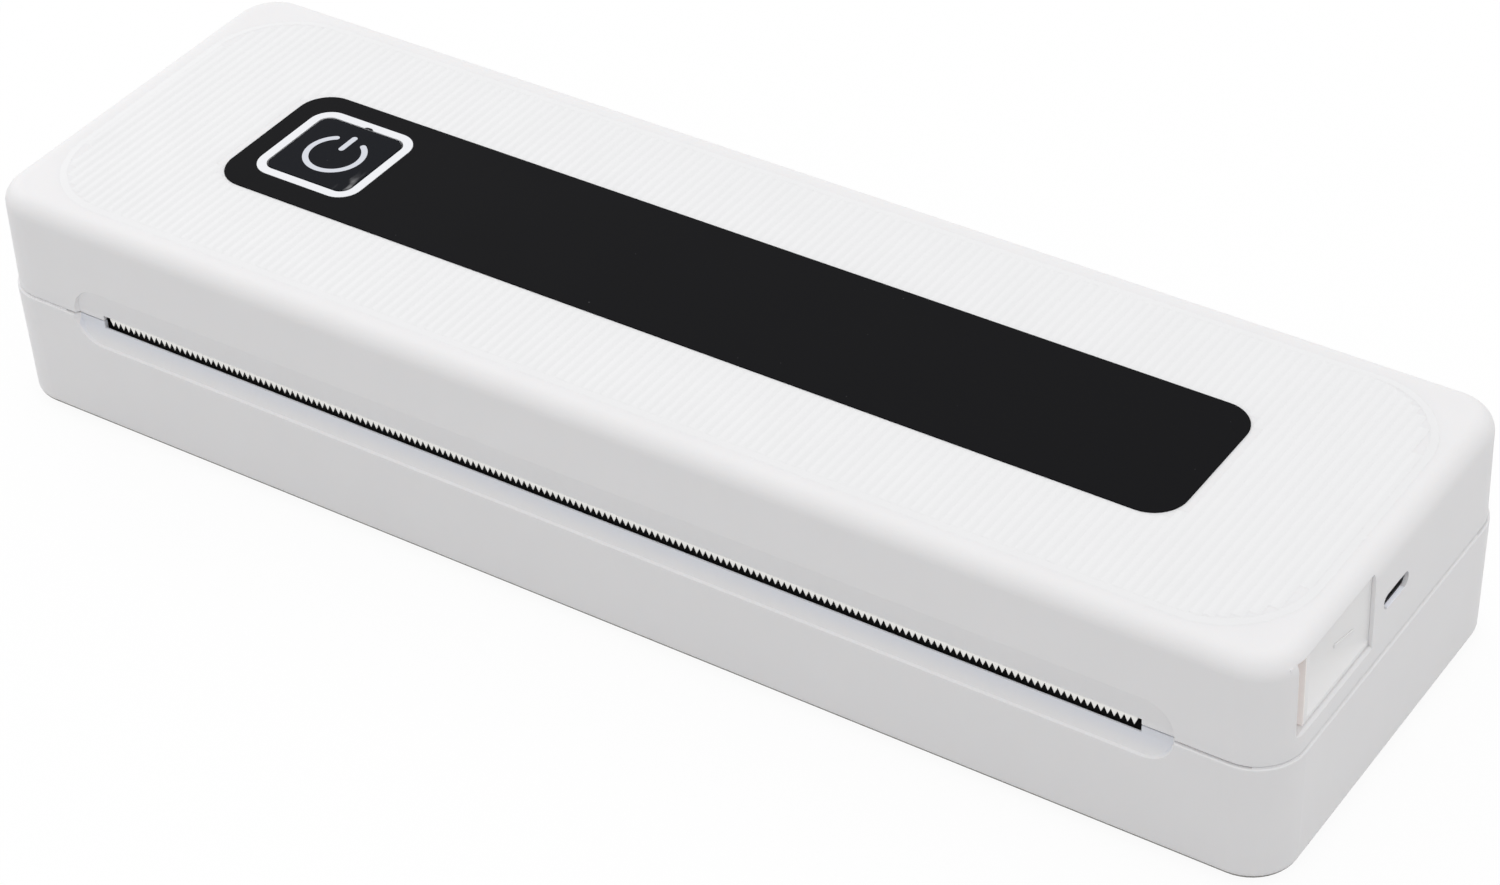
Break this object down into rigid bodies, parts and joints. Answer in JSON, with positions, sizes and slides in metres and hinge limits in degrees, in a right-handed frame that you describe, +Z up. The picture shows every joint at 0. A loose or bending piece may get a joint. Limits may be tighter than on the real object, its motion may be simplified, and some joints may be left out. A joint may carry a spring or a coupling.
{
  "type": "portable printer",
  "caption": "Slim white battery printer: long rounded box with a hinged cover, black top panel with a square power key, front paper slot with tear teeth and a side release button.",
  "frame": {"origin": "middle of the footprint, on the surface the feet stand on", "axes": "+X along the body to the right with the release button, -Y towards the front with the paper slot, +Z up"},
  "size_m": [0.265, 0.0824, 0.0464],
  "materials": {
    "white_shell": "fine satin moulded white",
    "white_button": "satin moulded white",
    "black_panel": "semi-gloss black",
    "black_key": "semi-gloss black with a pale printed power symbol",
    "light_ring": "translucent white",
    "frame_plastic": "dark grey moulded",
    "tray_plastic": "black moulded",
    "platen_rubber": "ground black rubber",
    "foot_rubber": "grey rubber",
    "steel": "ground steel",
    "bearing": "self-lubricating plastic",
    "gear_plastic": "natural acetal",
    "brass": "turned brass",
    "blade": "pale plated steel",
    "head_aluminium": "extruded aluminium",
    "heater_ceramic": "glazed ceramic",
    "spring_steel": "spring steel",
    "board": "green solder mask",
    "chip": "black moulded packages",
    "socket_steel": "plated steel",
    "battery_wrap": "shrink wrap",
    "motor_can": "plated can"
  },
  "bodies": {
    "base": {"base_shell": "white_shell", "rubber_feet": "foot_rubber", "paper_tray": "tray_plastic", "tray_screws": "steel", "platen_bushes": "bearing", "hinge_pins": "steel"},
    "platen": {"platen_shaft": "steel", "platen_rubber": "platen_rubber", "platen_gear": "gear_plastic"},
    "cover": {"cover_shell": "white_shell", "cover_frame": "frame_plastic", "frame_screws": "steel", "panel": "black_panel", "light_ring": "light_ring", "power_switch": "chip", "main_board": "board", "board_parts": "chip", "charge_board": "board", "usb_socket": "socket_steel", "battery_cells": "battery_wrap", "battery_cradle": "frame_plastic", "tear_blade": "blade", "head_springs": "spring_steel", "latch_spring": "spring_steel", "motor": "motor_can", "motor_plate": "steel", "motor_screw": "steel", "reduction_axle": "steel", "paper_sensor": "chip"},
    "key": {"power_key": "black_key"},
    "head": {"head_plate": "head_aluminium", "heater_strip": "heater_ceramic", "head_pins": "steel"},
    "latch": {"release_button": "white_button", "latch_bar": "frame_plastic"},
    "rotor": {"motor_pinion": "brass"},
    "reduction": {"reduction_gear": "gear_plastic"}
  },
  "joints": [
    {"name": "cover_hinge", "type": "hinge", "parent": "base", "child": "cover", "pos_m": [0, 0.039, 0.02516], "axis": [-1, 0, 0], "range_deg": [0, 82]},
    {"name": "platen_spin", "type": "hinge", "parent": "base", "child": "platen", "pos_m": [0, -0.03, 0.01846], "axis": [1, 0, 0], "continuous": true},
    {"name": "power_press", "type": "slide", "parent": "cover", "child": "key", "axis": [0, 0, -1], "range_m": [0, 0.0005], "stiffness_N_per_m": 1500, "springref_m": -0.0002},
    {"name": "head_pivot", "type": "hinge", "parent": "cover", "child": "head", "pos_m": [0, -0.02, 0.02696], "axis": [-1, 0, 0], "range_deg": [0, 2], "stiffness_Nm_per_rad": 6, "springref_deg": -1.15, "deforming": ["head_springs"]},
    {"name": "release_slide", "type": "slide", "parent": "cover", "child": "latch", "axis": [0, -1, 0], "range_m": [0, 0.0025], "stiffness_N_per_m": 800, "springref_m": -0.001, "deforming": ["latch_spring"]},
    {"name": "motor_spin", "type": "hinge", "parent": "cover", "child": "rotor", "pos_m": [0, -0.01738, 0.03449], "axis": [1, 0, 0], "continuous": true},
    {"name": "reduction_spin", "type": "hinge", "parent": "cover", "child": "reduction", "pos_m": [0, -0.02689, 0.03005], "axis": [1, 0, 0], "continuous": true}
  ],
  "couplings": [
    {"joint": "reduction_spin", "follows": "platen_spin", "ratio": -1.8571},
    {"joint": "motor_spin", "follows": "platen_spin", "ratio": 5.9429}
  ]
}
